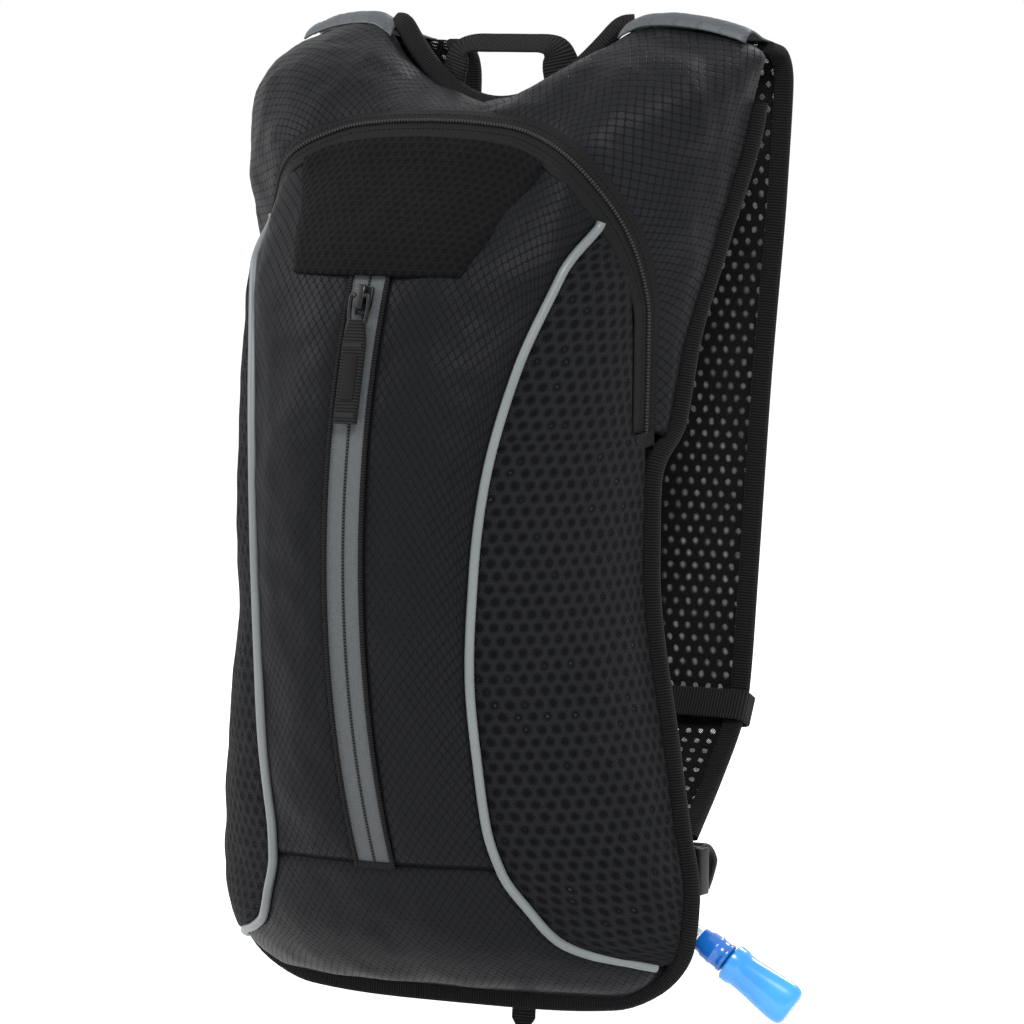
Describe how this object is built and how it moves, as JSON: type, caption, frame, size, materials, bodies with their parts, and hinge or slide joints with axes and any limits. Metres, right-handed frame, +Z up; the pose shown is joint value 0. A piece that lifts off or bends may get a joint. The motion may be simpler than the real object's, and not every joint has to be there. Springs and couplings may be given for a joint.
{
  "type": "hydration bladder",
  "caption": "Small hanging hydration backpack with arched main zip, front pocket, mesh sides, shoulder straps, inner reservoir, hose and bite valve.",
  "frame": {"origin": "middle of the haul loop's run, where a hook carries the bag", "axes": "+Z up, -Y out of the bag's front, +Y towards the wearer's back, +X to the right seen from the front"},
  "size_m": [0.2803, 0.2137, 0.4613],
  "materials": {
    "ripstop": "woven diamond ripstop",
    "mesh": "knitted air mesh",
    "webbing": "ribbed woven tape",
    "reflective": "grey reflective tape",
    "zip_tape": "coated grey zip tape",
    "zip_metal": "black painted",
    "plastic": "black moulded",
    "tank_film": "clear blue film",
    "blue_dark": "glossy",
    "blue_light": "glossy soft silicone",
    "hose_clear": "translucent",
    "seal": "matte"
  },
  "bodies": {
    "bag": {"back_pad": "mesh", "back_panel": "mesh", "band_loop_left": "webbing", "band_loop_right": "webbing", "base_tab": "webbing", "bottom_panel": "ripstop", "cap_gasket": "seal", "drink_hose": "hose_clear", "edge_binding": "webbing", "fill_collar": "plastic", "front_panel_left": "ripstop", "front_panel_right": "ripstop", "hanger_strip": "webbing", "haul_loop": "webbing", "inner_hose": "hose_clear", "ladder_lock_left": "plastic", "ladder_lock_right": "plastic", "lock_webbing_left": "webbing", "lock_webbing_right": "webbing", "main_zip_tape_inner": "webbing", "main_zip_tape_outer": "webbing", "neck_binding": "webbing", "outlet_elbow": "plastic", "outlet_seal": "seal", "piping_left": "reflective", "piping_right": "reflective", "pocket_lining": "ripstop", "pocket_zip_tape_left": "zip_tape", "pocket_zip_tape_right": "zip_tape", "port_grommet": "plastic", "reservoir": "tank_film", "shoulder_band_left": "reflective", "shoulder_band_right": "reflective", "side_mesh_left": "mesh", "side_mesh_right": "mesh", "strap_left": "mesh", "strap_right": "mesh", "top_mesh_patch": "mesh", "upper_back_panel": "mesh", "valve_collar": "blue_dark", "yoke": "ripstop"},
    "pocket_slider": {"pocket_slider": "zip_metal"},
    "pocket_pull": {"pocket_pull_wire": "zip_metal", "pocket_pull_tab": "webbing"},
    "main_slider": {"main_slider": "zip_metal"},
    "main_pull": {"main_pull": "webbing"},
    "fill_cap": {"fill_cap": "blue_dark"},
    "mouthpiece": {"mouthpiece": "blue_light"}
  },
  "joints": [
    {"name": "pocket_zip", "type": "hinge", "parent": "bag", "child": "pocket_slider", "pos_m": [0, 0.2026, -0.225], "axis": [1, 0, 0], "range_deg": [0, 39.41]},
    {"name": "pocket_pull_swing", "type": "hinge", "parent": "pocket_slider", "child": "pocket_pull", "pos_m": [0, -0.13209, -0.10515], "axis": [-1, 0, 0], "range_deg": [0, 140]},
    {"name": "main_zip", "type": "slide", "parent": "bag", "child": "main_slider", "axis": [-0.045, 0, 0.999], "range_m": [0, 0.03]},
    {"name": "main_pull_swing", "type": "hinge", "parent": "main_slider", "child": "main_pull", "pos_m": [-0.10441, -0.04736, -0.15218], "axis": [0, 1, 0], "range_deg": [0, 140]},
    {"name": "fill_cap_turn", "type": "hinge", "parent": "bag", "child": "fill_cap", "pos_m": [0, -0.0874, -0.168], "axis": [0, -1, 0], "range_deg": [0, 540]},
    {"name": "mouthpiece_pull", "type": "slide", "parent": "bag", "child": "mouthpiece", "axis": [0.7944, 0.1865, -0.5781], "range_m": [0, 0.012]}
  ]
}
